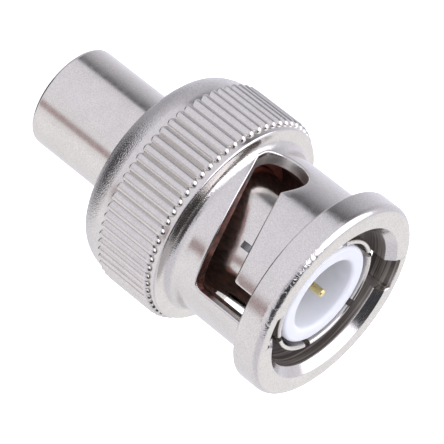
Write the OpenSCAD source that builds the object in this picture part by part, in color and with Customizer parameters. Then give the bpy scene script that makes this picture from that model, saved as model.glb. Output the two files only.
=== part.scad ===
// Coaxial bayonet terminator: a male bayonet plug with a matched load resistor in a plain round cap.
// It stands on the flat end of the cap. The plug's axis is Z and the mating face looks up.

/* [End cap] */
// Outer diameter of the cap
cap_d = 7.0; // [6.6:0.1:7.4]
// Length of the cap
cap_l = 7.2; // [6.8:0.1:9]
// Wall of the cap's cup
cap_wall = 0.5; // [0.4:0.05:0.6]
// Thickness of the cap's closed end
cap_floor = 1.0; // [0.8:0.1:1.4]
// Rounding of the cap's rear edge
cap_round = 0.3; // [0.1:0.05:0.4]

/* [Body] */
// Diameter of the neck that the coupling nut turns on
neck_d = 7.6; // [7.4:0.05:7.65]
// Length of the body's spigot inside the cap
spigot_l = 2.6; // [1.5:0.1:3.2]
// Bore that holds the resistor
load_bore_d = 4.2; // [4:0.1:4.6]
// Width of the land behind the retaining ring
land_w = 0.55; // [0.4:0.05:0.8]
// Diameter of the flange under the gasket
body_flange_d = 9.44; // [9.2:0.02:9.6]
// Thickness of that flange
body_flange_t = 0.85; // [0.7:0.05:1.1]

/* [Retaining ring] */
// Thickness of the ring
ring_t = 0.45; // [0.35:0.05:0.55]
// Depth of the ring's groove in the neck
ring_groove = 0.5; // [0.3:0.05:0.6]
// Outer diameter of the ring
ring_d = 9.2; // [8.8:0.1:9.5]
// Opening of the ring, in degrees
ring_gap = 40; // [20:1:70]

/* [Spring washers] */
// Thickness of the flat thrust washer
thrust_t = 0.3; // [0.2:0.05:0.4]
// Free height of each wave washer
wave_h = 1.05; // [0.8:0.05:1.3]
// Sheet thickness of a wave washer
wave_t = 0.25; // [0.15:0.05:0.3]
// Waves round each washer
wave_n = 3; // [2:1:4]
// Outer diameter of the washers
washer_d = 9.3; // [9:0.05:9.5]

/* [Gasket] */
// Thickness of the gasket
gasket_t = 0.8; // [0.5:0.05:1.2]
// Outer diameter of the gasket
gasket_d = 9.4; // [9.1:0.05:9.6]

/* [Outer contact] */
// Outer diameter of the slotted contact
contact_d = 8.0; // [7.9:0.02:8.12]
// Wall of its fingers
contact_wall = 0.32; // [0.25:0.01:0.45]
// Length of the contact ahead of the body flange
contact_l = 9.1; // [8.5:0.1:9.6]
// Length of the finger slots
finger_l = 4.75; // [3.5:0.05:6]
// Width of a finger slot
finger_gap = 0.46; // [0.3:0.02:0.6]
// Pairs of opposite finger slots
finger_pairs = 3; // [2:1:4]
// Diameter of the shank pressed into the body
shank_d = 6.6; // [6.2:0.1:6.8]
// Length of that shank
shank_l = 2.35; // [2:0.05:2.6]
// Wall of the shank
shank_wall = 0.55; // [0.4:0.05:0.7]
// Depth of the contact's seat in the body flange
seat_depth = 0.4; // [0.2:0.05:0.6]
// Diameter of the contact's root inside the gasket
root_d = 8.4; // [8.34:0.02:8.5]
// Height of the contact's inner web above the body flange
web_rise = 0.4; // [0.3:0.05:0.7]

/* [Insulator and pin] */
// Outer diameter of the insulator between the fingers
insulator_d = 6.9; // [6.6:0.05:7.1]
// Bore of the insulator round the pin
insulator_bore = 4.9; // [4.75:0.05:5.2]
// Distance of the insulator's rim behind the contact's tip
insulator_recess = 0.1; // [0:0.05:0.5]
// Thickness of the web that carries the pin
web_t = 1.4; // [1:0.1:2]
// Length of the insulator's hub in the shank
hub_l = 1.8; // [1.4:0.1:2]
// Diameter of the centre pin
pin_d = 1.35; // [1.3:0.01:1.4]
// Diameter of the pin's seat in the insulator
pin_seat_d = 1.7; // [1.66:0.01:1.8]
// Distance of the pin's tip behind the contact's tip
pin_recess = 0.25; // [0:0.05:0.8]
// Diameter of the pin's thin nose
pin_nose_d = 0.52; // [0.4:0.02:0.8]
// Length of the nose
pin_nose_l = 1.0; // [0.6:0.1:1.6]
// Length of the taper behind the nose
pin_taper = 0.4; // [0.3:0.05:0.8]
// Diameter of the pin's collar
collar_d = 2.2; // [1.9:0.1:2.6]
// Length of the collar
collar_l = 0.6; // [0.4:0.05:0.8]
// Length of the pin's tail behind the bead
tail_l = 0.9; // [0.6:0.05:1.2]

/* [Load resistor] */
// Diameter of the resistor's ends
resistor_d = 2.4; // [2:0.1:2.5]
// Length of the resistor's body
resistor_l = 6.0; // [5:0.1:6.2]
// Distance of the resistor from the pin's tail
resistor_gap = 0.7; // [0.4:0.05:1]
// Diameter of its leads
lead_d = 0.6; // [0.5:0.05:0.7]
// Depth of the lead's sockets in the pin and the cap
lead_socket = 0.5; // [0.3:0.05:0.6]
// Wall of the insulating sleeve
sleeve_wall = 0.45; // [0.3:0.05:0.55]
// Overhang of the sleeve past each end of the resistor
sleeve_overhang = 0.2; // [0.1:0.05:0.3]
// Diameter of the solder joint on the cap's floor
solder_d = 1.8; // [1.4:0.1:2.2]
// Height of that solder joint
solder_h = 0.6; // [0.3:0.05:0.7]

/* [Coupling nut] */
// Length of the nut
nut_l = 14.8; // [14:0.1:15.6]
// Diameter over the knurl
knurl_d = 14.5; // [14.2:0.1:15]
// Bore that the jack enters
nut_bore = 9.8; // [9.75:0.01:9.95]
// Diameter of the barrel
barrel_d = 11.4; // [11.2:0.1:11.7]
// Diameter of the front flange
front_flange_d = 13.6; // [13:0.1:14]
// Width of the front flange
front_flange_w = 1.85; // [1.5:0.05:2.2]
// Rounding of the flange's front edge
flange_round = 0.4; // [0.2:0.05:0.6]
// Chamfer of the bore's mouth, across the face
mouth_chamfer = 0.5; // [0.3:0.05:0.7]
// Thickness of the lip that bears on the washers
lip_t = 1.1; // [0.9:0.05:1.3]
// Depth of the counterbore over the retaining ring
ring_recess = 0.6; // [0.5:0.05:0.9]
// Diameter of that counterbore
ring_recess_d = 10.0; // [9.8:0.1:10.6]
// Diameter of the flat rear face
rear_face_d = 11.8; // [11.4:0.1:12.4]

/* [Knurl] */
// Ribs round the nut
knurl_n = 63; // [40:1:72]
// Turn of the first groove from the entry, in degrees
knurl_turn = 0.57; // [0:0.01:5]
// Depth of the grooves between the ribs
groove_depth = 0.17; // [0.12:0.01:0.22]
// Width of a groove between the ribs' rounded edges
groove_w = 0.28; // [0.22:0.02:0.34]
// Width of a groove at its bottom
groove_floor = 0.1; // [0.06:0.02:0.16]
// Width of a rib's crest
rib_crest = 0.18; // [0.1:0.02:0.24]
// Fall of a rib's edges below its crest
rib_crown = 0.045; // [0.02:0.005:0.06]
// Length of the ribs' rounded front ends
rib_nose = 0.3; // [0.2:0.05:0.5]
// Length of the knurled ring
knurl_w = 4.35; // [3.8:0.05:4.8]
// Length of the rounded shoulder behind it
shoulder_w = 2.05; // [1.6:0.05:2.4]
// Plain ring left in front of the ribs
knurl_rim = 0.2; // [0.15:0.05:0.4]
// Radius of the fillet between the knurl's front face and the barrel
neck_fillet = 0.7; // [0.4:0.05:0.9]

/* [Bayonet slots] */
// Width of the cam slot
slot_w = 2.4; // [2.2:0.05:2.6]
// Width of the entry groove
entry_w = 2.2; // [2.1:0.05:2.4]
// Reach of the entry groove past the barrel's surface, under the front flange
entry_reach = 0.18; // [0.1:0.02:0.3]
// Depth of the cam slot's start below the mating face
cam_depth = 5.0; // [4.6:0.05:5.3]
// Turn before the cam begins to fall, in degrees
cam_dwell = 11.5; // [8:0.5:16]
// Fall of the cam over a quarter turn
cam_fall = 2.5; // [2:0.05:2.7]
// Turn from the entry to the detent, in degrees
lock_turn = 88; // [84:1:94]
// Radius of the detent's round end
detent_r = 1.6; // [1.45:0.05:1.65]
// Depth of the detent's centre below the mating face
detent_depth = 6.3; // [6:0.05:6.4]
// Turn over which the slot opens into the detent, in degrees
detent_lead = 15; // [12:1:18]
// Rounding of the slot's outer corner at the entry
entry_corner = 0.5; // [0.3:0.05:0.7]

/* [Fits] */
// Radial running clearance of the nut and the thrust washer on the neck
running_fit = 0.05; // [0.02:0.01:0.09]
// Radial clearance of assembled pieces
seat_fit = 0.01; // [0.005:0.005:0.03]
// End play of the retaining ring and of the nut on it
end_play = 0.02; // [0.01:0.01:0.05]
// Radial clearance of the leads in their sockets
lead_fit = 0.03; // [0.01:0.01:0.05]

/* [Hidden] */
$fn = 96;
cut = 0.1;

nickel = "#c9c6c7";
bronze = "#b9a27c";
steel = "#a9abae";
gold = "#d7b765";
ptfe = "#eceff6";
rubber = "#6e211d";
enamel = "#7fb0bd";
tin = "#b7babd";
tinned = "#c4c2bd";

// Heights along the axis, from the cap's end upwards
ring_z = cap_l + land_w;
ring_slot = ring_t + end_play;
lip_z = ring_z + ring_slot;
nut_z = lip_z - ring_recess;
nut_top = nut_z + nut_l;
thrust_z = lip_z + lip_t;
wave_z = thrust_z + thrust_t;
body_flange_z = wave_z + 2 * wave_h;
gasket_z = body_flange_z + body_flange_t;
contact_tip = gasket_z + contact_l;
contact_seat = gasket_z - seat_depth;
shank_z = contact_seat - shank_l;
finger_root = contact_tip - finger_l;
sweep_start = 22.5 / finger_pairs;
wave_steps = 24;

// Inside of the contact
shank_bore = shank_d - 2 * shank_wall;
contact_bore = contact_d - 2 * contact_wall;
contact_web_z = gasket_z + web_rise;
root_top = gasket_z + gasket_t;
web_top = contact_web_z + web_t;
insulator_tip = contact_tip - insulator_recess;
hub_z = contact_web_z - hub_l;
bead_l = hub_z - shank_z;
hub_d = shank_bore - 2 * seat_fit;
pin_tip = contact_tip - pin_recess;
collar_z = hub_z - collar_l;
tail_z = shank_z - tail_l;

// Load resistor
resistor_z = tail_z - resistor_gap - resistor_l;
resistor_waist = 0.86;
resistor_end = 1.1;
sleeve_bore = resistor_d + 4 * lead_fit;
socket_d = lead_d + 2 * lead_fit;

// Coupling nut
shoulder_z = nut_z + shoulder_w;
knurl_top = shoulder_z + knurl_w;
front_flange_z = nut_top - front_flange_w;
rib_top = knurl_top - knurl_rim;
rib_step = 0.02;
rib_root = knurl_d / 2 - groove_depth - rib_step;
edge_break = 0.12;
detent_z = nut_top - detent_depth;
entry_top = front_flange_z - 2 * edge_break;
entry_step = 0.03;
entry_turn = asin((entry_w / 2 + entry_step) / (barrel_d / 2));
entry_overlap = 0.5;
slot_inner = nut_bore / 2 - 0.5;
cam_step = 4;
round_steps = 6;
corner_slope = 0.6;
end_angle = 82;

// Points on an ellipse round [x, y], from angle a to angle b
function oval(x, y, rx, ry, a, b, n) =
    [for (i = [0 : n]) let (t = a + (b - a) * i / n) [x + rx * cos(t), y + ry * sin(t)]];

// Points on an arc of radius r round [x, y], from angle a to angle b
function arc(x, y, r, a, b, n = 6) = oval(x, y, r, r, a, b, n);

// A tube from height z, h long
module tube(d_out, d_in, z, h) {
    translate([0, 0, z])
        difference() {
            cylinder(d = d_out, h = h);
            translate([0, 0, -cut]) cylinder(d = d_in, h = h + 2 * cut);
        }
}

// A round bar from height z, h long
module bar(d, z, h) {
    translate([0, 0, z]) cylinder(d = d, h = h);
}

// Turned cup with a blind socket for the resistor's lead in its floor
module end_cap() {
    r = cap_d / 2;
    color(nickel)
        difference() {
            rotate_extrude()
                polygon(concat([[0, 0]], arc(r - cap_round, cap_round, cap_round, -90, 0),
                               [[r, cap_l - edge_break], [r - edge_break, cap_l],
                                [r - cap_wall, cap_l], [r - cap_wall, cap_floor], [0, cap_floor]]));
            bar(socket_d, cap_floor - lead_socket, lead_socket + cut);
        }
}

// Turned body: spigot, neck with the ring's groove, and the flange that seats the gasket
module body() {
    spigot_d = cap_d - 2 * cap_wall - 2 * seat_fit;
    color(nickel)
        difference() {
            union() {
                bar(spigot_d, cap_l - spigot_l, spigot_l + cut);
                bar(neck_d, cap_l, body_flange_z - cap_l + cut);
                bar(body_flange_d, body_flange_z, body_flange_t);
            }
            bar(load_bore_d, cap_l - spigot_l - cut, shank_z - cap_l + spigot_l + 2 * cut);
            bar(shank_d + 2 * seat_fit, shank_z, shank_l + cut);
            bar(root_d + 2 * seat_fit, contact_seat, seat_depth + cut);
            tube(neck_d + 2 * cut, neck_d - 2 * ring_groove, ring_z, ring_slot);
        }
}

// Open spring ring in the neck's groove
module retaining_ring() {
    color(steel)
        difference() {
            tube(ring_d, neck_d - 2 * ring_groove + 2 * seat_fit, ring_z, ring_t);
            translate([0, 0, ring_z - cut])
                linear_extrude(ring_t + 2 * cut)
                    polygon([[0, 0], ring_d * [cos(ring_gap / 2), sin(ring_gap / 2)],
                             ring_d * [cos(ring_gap / 2), -sin(ring_gap / 2)]]);
        }
}

// Half section of the coupling nut, from the lip's bore round the outside
module nut_section() {
    bore = nut_bore / 2;
    lip = neck_d / 2 + running_fit;
    recess = ring_recess_d / 2;
    mouth = bore + mouth_chamfer;
    flange = front_flange_d / 2;
    barrel = barrel_d / 2;
    knurl = knurl_d / 2;
    rear = rear_face_d / 2;
    polygon(concat(
        [[lip, lip_z], [lip, thrust_z], [bore, thrust_z],
         [bore, nut_top - mouth_chamfer], [mouth, nut_top]],
        arc(flange - flange_round, nut_top - flange_round, flange_round, 90, 0),
        [[flange, front_flange_z + edge_break], [flange - edge_break, front_flange_z],
         [barrel, front_flange_z]],
        arc(barrel + neck_fillet, knurl_top + neck_fillet, neck_fillet, 180, 270),
        [[rib_root - edge_break, knurl_top], [rib_root, knurl_top - edge_break]],
        oval(rib_root, rib_top - rib_nose, knurl - rib_root, rib_nose, 90, 0, 5),
        [[knurl, shoulder_z]],
        oval(rear, shoulder_z, rib_root - rear, shoulder_w, 0, -90, 8),
        [[recess, nut_z], [recess, lip_z]]));
}

// Comb of grooves that leaves the knurl's crowned ribs
module knurl_grooves() {
    r = knurl_d / 2;
    pitch = 2 * PI * r / knurl_n;
    crest = (pitch - rib_crest) / 2;
    slope = (crest - groove_w / 2) / rib_crown;
    // Right half of a groove, as its half width and radius
    half = [[groove_floor / 2, r - groove_depth], [groove_w / 2, r - rib_crown],
            [crest + slope * rib_step, r + rib_step]];
    corners = concat([for (i = [2 : -1 : 0]) [-half[i][0], half[i][1]]], half);
    translate([0, 0, shoulder_z - cut])
        linear_extrude(rib_top - shoulder_z + 2 * cut)
            difference() {
                circle(d = knurl_d + 2);
                polygon([for (i = [0 : knurl_n - 1], c = corners)
                            let (t = 360 / knurl_n * i + knurl_turn)
                            [c[1] * cos(t) - c[0] * sin(t), c[1] * sin(t) + c[0] * cos(t)]]);
            }
}

// Height of the cam slot's centre line after a turn away from the entry, in degrees
function cam_z(turn) = nut_top - cam_depth - cam_fall * (1 - cos(max(0, turn - cam_dwell)));

// Distance round the barrel for a turn, and the turn for a distance
function along(turn) = turn * PI / 180 * barrel_d / 2;
function turn_of(distance) = distance / (barrel_d / 2) * 180 / PI;

// Half height of the detent's round end at a turn past its centre
function detent_half(turn) = sqrt(max(0, detent_r ^ 2 - along(max(0, turn - lock_turn)) ^ 2));

// Height of the slot's front wall: open to the entry groove, then the cam, then a step into the detent
function slot_front(turn) =
    let (lead = (turn - lock_turn + detent_lead) / detent_lead,
         wall = cam_z(min(turn, lock_turn - detent_lead)) + slot_w / 2)
    turn <= entry_turn ? entry_top
    : lead <= 0 ? wall
    : turn < lock_turn ? wall + (detent_z + detent_r - wall) * sin(90 * lead)
    : detent_z + detent_half(turn);

// Height of the slot's rear wall: a round corner at the entry, then the cam, then the detent
function slot_rear(turn) =
    let (d = max(0, entry_corner - along(turn + entry_turn)),
         corner = entry_corner - sqrt(max(0, entry_corner ^ 2 - d ^ 2)))
    turn < lock_turn ? max(cam_z(turn) - slot_w / 2, detent_z - detent_r) + corner
    : detent_z - detent_half(turn);

// The slot's cutter: radial walls from the bore outwards, from the entry's corner to the detent's end
module cam_slot() {
    inner = slot_inner;
    outer = knurl_d / 2;
    corner_end = turn_of(entry_corner) - entry_turn;
    cam_start = entry_turn + corner_slope;
    cam_steps = ceil((lock_turn - cam_start) / cam_step);
    turns = concat(
        [for (i = [0 : round_steps - 1]) -entry_turn + turn_of(entry_corner) * i / round_steps],
        [corner_end, entry_turn],
        [for (i = [0 : cam_steps]) cam_start + (lock_turn - cam_start) * i / cam_steps],
        [for (i = [1 : round_steps]) lock_turn + turn_of(detent_r * sin(end_angle * i / round_steps))]);
    last = len(turns) - 1;
    points = [for (t = turns) each
                 [for (r_z = [[inner, slot_rear(t)], [outer, slot_rear(t)],
                              [outer, slot_front(t)], [inner, slot_front(t)]])
                     [r_z[0] * cos(-t), r_z[0] * sin(-t), r_z[1]]]];
    sides = [for (i = [0 : last - 1], k = [0 : 3]) each
                let (a = 4 * i + k, b = 4 * i + (k + 1) % 4)
                [[b + 4, b, a], [a + 4, b + 4, a]]];
    ends = [[0, 1, 2], [0, 2, 3],
            [4 * last + 2, 4 * last + 1, 4 * last], [4 * last + 3, 4 * last + 2, 4 * last]];
    polyhedron(points, concat(sides, ends));
}

// One bayonet track: a groove from the mating face under the front flange, and the slot behind it
module bayonet_track() {
    groove_z = entry_top - entry_overlap;
    intersection() {
        bar(barrel_d + 2 * entry_reach, groove_z, nut_top - groove_z + cut);
        translate([slot_inner, -entry_w / 2, groove_z])
            cube([knurl_d / 2, entry_w, nut_top - groove_z + cut]);
    }
    cam_slot();
}

// Coupling nut: turned, knurled, with two bayonet tracks half a turn apart
module coupling_nut() {
    color(nickel)
        difference() {
            rotate_extrude() nut_section();
            knurl_grooves();
            for (side = [0, 180]) rotate([0, 0, side]) bayonet_track();
        }
}

// Flat washer between the nut's lip and the wave washers
module thrust_washer() {
    color(steel) tube(washer_d, neck_d + 2 * running_fit, thrust_z, thrust_t);
}

// Wave washer from height z, its crests turned by phase degrees
module wave_washer(z, phase) {
    steps = wave_steps * wave_n;
    inner = neck_d / 2 + 2 * running_fit;
    outer = washer_d / 2;
    swing = (wave_h - wave_t) / 2;
    points = [for (i = [0 : steps - 1]) each
                 let (t = 360 * i / steps, low = z + swing * (1 + cos(wave_n * t + phase)))
                 [for (r_z = [[inner, low], [outer, low], [outer, low + wave_t], [inner, low + wave_t]])
                     [r_z[0] * cos(t), r_z[0] * sin(t), r_z[1]]]];
    faces = [for (i = [0 : steps - 1], k = [0 : 3]) each
                let (j = (i + 1) % steps, a = 4 * i + k, b = 4 * i + (k + 1) % 4,
                     c = 4 * j + (k + 1) % 4, d = 4 * j + k)
                [[a, c, b], [a, d, c]]];
    color(bronze) polyhedron(points, faces);
}

module wave_washer_rear() {
    wave_washer(wave_z, 0);
}

module wave_washer_front() {
    wave_washer(wave_z + wave_h, 180);
}

// Flat ring of rubber on the body flange
module gasket() {
    color(rubber) tube(gasket_d, root_d + 2 * seat_fit, gasket_z, gasket_t);
}

// Slotted outer contact with the shank that is pressed into the body
module outer_contact() {
    tip_round = contact_wall / 2;
    r = contact_d / 2;
    color(nickel)
        difference() {
            rotate([0, 0, sweep_start]) rotate_extrude()
                polygon(concat(
                    [[shank_bore / 2, shank_z], [shank_d / 2, shank_z], [shank_d / 2, contact_seat],
                     [root_d / 2, contact_seat], [root_d / 2, root_top], [r, root_top]],
                    arc(r - tip_round, contact_tip - tip_round, tip_round, 0, 180, 8),
                    [[contact_bore / 2, contact_web_z], [shank_bore / 2, contact_web_z]]));
            for (i = [0 : finger_pairs - 1])
                rotate([0, 0, 90 + 180 / finger_pairs * i])
                    translate([-contact_d, -finger_gap / 2, finger_root])
                        cube([2 * contact_d, finger_gap, finger_l + cut]);
        }
}

// Insulator: a cup round the pin, with a hub that sits in the contact's shank
module insulator() {
    r = insulator_d / 2;
    bore = insulator_bore / 2;
    pin_hole = pin_seat_d / 2 + seat_fit;
    lip_round = (r - bore) / 4;
    floor_round = bore / 4;
    color(ptfe)
        rotate_extrude()
            polygon(concat(
                [[pin_hole, hub_z], [hub_d / 2, hub_z], [hub_d / 2, contact_web_z], [r, contact_web_z]],
                arc(r - lip_round, insulator_tip - lip_round, lip_round, 0, 90, 4),
                arc(bore + lip_round, insulator_tip - lip_round, lip_round, 90, 180, 4),
                arc(bore - floor_round, web_top + floor_round, floor_round, 0, -90, 5),
                [[pin_hole, web_top]]));
}

// Gilt centre pin with its collar, a thin nose and a solder cup in its tail
module centre_pin() {
    r = pin_d / 2;
    seat = pin_seat_d / 2;
    nose = pin_nose_d / 2;
    tip_round = nose / 2;
    color(gold)
        difference() {
            rotate_extrude()
                polygon(concat(
                    [[0, tail_z], [seat, tail_z], [seat, collar_z], [collar_d / 2, collar_z],
                     [collar_d / 2, hub_z], [seat, hub_z], [seat, web_top], [r, web_top],
                     [r, pin_tip - pin_nose_l - pin_taper], [nose, pin_tip - pin_nose_l]],
                    arc(nose - tip_round, pin_tip - tip_round, tip_round, 0, 90, 4), [[0, pin_tip]]));
            bar(socket_d, tail_z - cut, lead_socket + cut);
        }
}

// Bead behind the hub that traps the pin's collar
module rear_bead() {
    color(ptfe)
        difference() {
            bar(hub_d, shank_z, bead_l);
            bar(pin_seat_d + 2 * seat_fit, shank_z - cut, bead_l + 2 * cut);
            bar(collar_d + 2 * seat_fit, collar_z, collar_l + cut);
        }
}

// Load resistor: a round body with thicker ends
module resistor() {
    r = resistor_d / 2;
    waist = r * resistor_waist;
    top = resistor_z + resistor_l;
    shoulder = r - waist;
    color(enamel)
        rotate_extrude()
            polygon(concat(
                [[0, resistor_z]], arc(r - shoulder, resistor_z + shoulder, shoulder, -90, 0, 4),
                [[r, resistor_z + resistor_end], [waist, resistor_z + resistor_end + shoulder],
                 [waist, top - resistor_end - shoulder], [r, top - resistor_end]],
                arc(r - shoulder, top - shoulder, shoulder, 0, 90, 4), [[0, top]]));
}

// Insulating sleeve over the resistor
module resistor_sleeve() {
    color(ptfe)
        tube(sleeve_bore + 2 * sleeve_wall, sleeve_bore, resistor_z - sleeve_overhang,
             resistor_l + 2 * sleeve_overhang);
}

// Lead from the resistor into the pin's solder cup
module front_lead() {
    color(tinned) bar(lead_d, resistor_z + resistor_l, resistor_gap + lead_socket);
}

// Lead from the resistor into the socket in the cap's floor
module rear_lead() {
    color(tinned) bar(lead_d, cap_floor - lead_socket, resistor_z - cap_floor + lead_socket);
}

// Solder collar round a lead, from its wide end at height z
module solder(d, z, h) {
    inner = lead_d / 2 + seat_fit;
    color(tin)
        rotate_extrude()
            polygon(concat([[inner, z]],
                           [for (i = [0 : 5]) let (t = i / 5, spread = (d / 2 - inner) * (1 - t) ^ 2)
                               [inner + spread + (2 - t) * seat_fit, z + h * t]],
                           [[inner, z + h]]));
}

module front_solder() {
    translate([0, 0, tail_z]) mirror([0, 0, 1]) solder(pin_seat_d, 0, resistor_gap / 2);
}

module rear_solder() {
    solder(solder_d, cap_floor, solder_h);
}

end_cap();
body();
retaining_ring();
coupling_nut();
thrust_washer();
wave_washer_rear();
wave_washer_front();
gasket();
outer_contact();
insulator();
centre_pin();
rear_bead();
resistor();
resistor_sleeve();
front_lead();
rear_lead();
front_solder();
rear_solder();
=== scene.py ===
"""Looks of a coaxial bayonet terminator: a knurled coupling nut on a plug, closed by a round cap."""

import bmesh
import bpy
import numpy as np
from mathutils import Matrix, Vector


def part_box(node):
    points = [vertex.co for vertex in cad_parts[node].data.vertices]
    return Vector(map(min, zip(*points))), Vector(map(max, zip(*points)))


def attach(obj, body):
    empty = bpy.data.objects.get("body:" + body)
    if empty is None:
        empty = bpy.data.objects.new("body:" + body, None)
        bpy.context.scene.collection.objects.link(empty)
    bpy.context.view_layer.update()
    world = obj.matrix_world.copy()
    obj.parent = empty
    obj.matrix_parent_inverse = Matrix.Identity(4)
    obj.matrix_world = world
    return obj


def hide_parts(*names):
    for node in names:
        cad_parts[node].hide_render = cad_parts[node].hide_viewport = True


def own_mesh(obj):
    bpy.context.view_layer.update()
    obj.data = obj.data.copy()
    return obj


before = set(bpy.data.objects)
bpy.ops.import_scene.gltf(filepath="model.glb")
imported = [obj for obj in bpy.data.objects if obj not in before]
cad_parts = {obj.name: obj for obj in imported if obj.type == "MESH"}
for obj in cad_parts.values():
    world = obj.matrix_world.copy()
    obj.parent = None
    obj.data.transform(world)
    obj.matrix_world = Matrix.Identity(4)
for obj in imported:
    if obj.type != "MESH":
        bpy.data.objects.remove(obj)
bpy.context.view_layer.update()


# End cap
# A cup turned from brass and plated with satin nickel. It holds the load resistor, is pressed over the
# body's spigot, and the part stands on its flat end.

mm = 0.001


def rounded(corners, steps=4, support=0.05):
    """A section's corners (radius, height, rounding) with every inner corner replaced by an arc.

    The arc starts rounding * tan(half the turn) before the corner, tangent to the side that comes in, and
    turns at that radius into the side that goes out. A point just beyond each end keeps the sides flat.
    """
    c = np.asarray(corners, float)
    side = np.diff(c[:, :2], axis=0)
    side /= np.linalg.norm(side, axis=1)[:, None]
    came, goes, size = side[:-1], side[1:], c[1:-1, 2:3]
    left = np.stack([-came[:, 1], came[:, 0]], 1)
    turn = np.arctan2((left * goes).sum(1), (came * goes).sum(1))[:, None]
    start = c[1:-1, :2] - came * size * np.abs(np.tan(turn / 2))
    along = np.linspace(0, 1, steps + 1)[None, :, None] * np.abs(turn)[:, None]
    arc = start[:, None] + size[:, None] * (np.sin(along) * came[:, None]
                                            + (1 - np.cos(along)) * (np.sign(turn) * left)[:, None])
    room = np.minimum(support, size)
    arc = np.concatenate([arc[:, :1] - (room * came)[:, None], arc, arc[:, -1:] + (room * goes)[:, None]], 1)
    return np.concatenate([c[:1, :2], arc.reshape(-1, 2), c[-1:, :2]])


def lathe(section, turns):
    """Each point (r, h) of a section carried round the axis: x = r cos t, y = r sin t, z = h."""
    r, h = np.asarray(section, float).T[:, :, None]
    t = np.radians(turns)[None]
    return np.stack(np.broadcast_arrays(r * np.cos(t), r * np.sin(t), h), -1)


def skin(name, patches, sharp=32, weld=4e-7, sliver=1e-8):
    """One mesh object from grids of points in millimetres, with a quad between each four neighbours.

    Points that coincide are welded, which closes seams and poles, and the faces are turned outwards.
    """
    points = np.concatenate([p.reshape(-1, 3) for p in patches]) * mm
    sizes = [p.shape[0] * p.shape[1] for p in patches]
    starts = np.cumsum([0] + sizes[:-1])
    grids = [s + np.arange(n).reshape(p.shape[:2]) for s, n, p in zip(starts, sizes, patches)]
    quads = np.concatenate([np.stack([g[:-1, :-1], g[:-1, 1:], g[1:, 1:], g[1:, :-1]], -1).reshape(-1, 4)
                            for g in grids])
    mesh = bpy.data.meshes.new(name)
    mesh.from_pydata(points, [], quads.tolist())
    bm = bmesh.new()
    bm.from_mesh(mesh)
    bmesh.ops.remove_doubles(bm, verts=bm.verts, dist=weld)
    bmesh.ops.dissolve_degenerate(bm, edges=bm.edges, dist=sliver)
    bmesh.ops.recalc_face_normals(bm, faces=bm.faces)
    bm.to_mesh(mesh)
    bm.free()
    mesh.shade_smooth()
    mesh.set_sharp_from_angle(angle=np.radians(sharp))
    piece = bpy.data.objects.new(name, mesh)
    bpy.context.scene.collection.objects.link(piece)
    return piece


def turned(name, section, columns=160):
    """A piece turned on the lathe: the closed section carried once round the axis."""
    return skin(name, [lathe(section, np.linspace(0, 360, columns + 1))])


def add(tree, kind, sockets=None, **settings):
    """A new shader node with its settings, and its sockets filled by values or linked to other nodes."""
    made = tree.nodes.new(kind)
    for key, value in settings.items():
        setattr(made, key, value)
    for key, value in (sockets or {}).items():
        if isinstance(value, bpy.types.NodeSocket):
            tree.links.new(value, made.inputs[key])
        else:
            made.inputs[key].default_value = value
    return made


def noise(tree, place, grains, detail, **more):
    """Noise from 0 to 1 with so many grains to the metre."""
    return add(tree, "ShaderNodeTexNoise",
               {"Vector": place, "Scale": grains, "Detail": detail, **more}).outputs["Fac"]


def level_lines(tree, place, across, along, detail=2.0):
    """Noise squeezed along the axis into level lines, with so many grains to the metre across and along."""
    squeezed = add(tree, "ShaderNodeMapping", {"Vector": place, "Scale": (across, across, along)})
    return noise(tree, squeezed.outputs["Vector"], 1.0, detail)


def levels(tree, value, to_low, to_high, low=0.0, high=1.0):
    """A value between low and high carried in a straight line to other limits, and cut off there."""
    return add(tree, "ShaderNodeMapRange", {"Value": value, "From Min": low, "From Max": high,
                                            "To Min": to_low, "To Max": to_high}).outputs["Result"]


def mixed(tree, factor, first, second):
    """Goes from the first colour to the second as the factor goes from 0 to 1; each may be a socket."""
    ends = {key: (*end, 1) if isinstance(end, tuple) else end for key, end in (("A", first), ("B", second))}
    return add(tree, "ShaderNodeMix", {"Factor": factor, **ends}, data_type="RGBA").outputs["Result"]


def bumped(tree, height, depth, **more):
    """The normal tilted by the slope of a height, whose full range is a depth in metres."""
    return add(tree, "ShaderNodeBump",
               {"Height": height, "Strength": 1.0, "Distance": depth, **more}).outputs["Normal"]


def wire(tree, shader, **sockets):
    """Links each socket to the shader's input of that name."""
    for key, socket in sockets.items():
        tree.links.new(socket, shader.inputs[key.replace("_", " ")])


def surface(name, **constants):
    """A new material: its node tree, its shader with constant values set, and the object's coordinates."""
    material = bpy.data.materials.new(name)
    material.use_nodes = True
    tree = material.node_tree
    shader = tree.nodes["Principled BSDF"]
    for key, value in constants.items():
        shader.inputs[key.replace("_", " ")].default_value = value
    return material, tree, shader, add(tree, "ShaderNodeTexCoord").outputs["Object"]


def plated(name, dark, light, rough, grain=1.5e-6, lines=0.0):
    """Plated metal: cloudy tone between two colours, uneven gloss, satin grain, and turning lines if asked.

    Clouds are 1.4 mm noise, gloss patches 0.4 mm, specks 0.08 mm and pits 0.07 mm. Specks scale the tone.
    """
    material, tree, shader, place = surface(name, Metallic=1.0)
    tone = mixed(tree, noise(tree, place, 700.0, 8.0, Roughness=0.8), dark, light)
    specks = levels(tree, noise(tree, place, 13000.0, 1.0), 0.92, 1.08, 0.3, 0.7)
    speckled = add(tree, "ShaderNodeVectorMath", {0: tone, "Scale": specks}, operation="SCALE")
    gloss = levels(tree, noise(tree, place, 2600.0, 3.0), *rough, 0.3, 0.7)
    normal = bumped(tree, noise(tree, place, 15000.0, 2.0), grain)
    if lines:
        normal = bumped(tree, level_lines(tree, place, 40.0, 9000.0), lines, Normal=normal)
    wire(tree, shader, Base_Color=speckled.outputs["Vector"], Roughness=gloss, Normal=normal)
    return material


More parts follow.
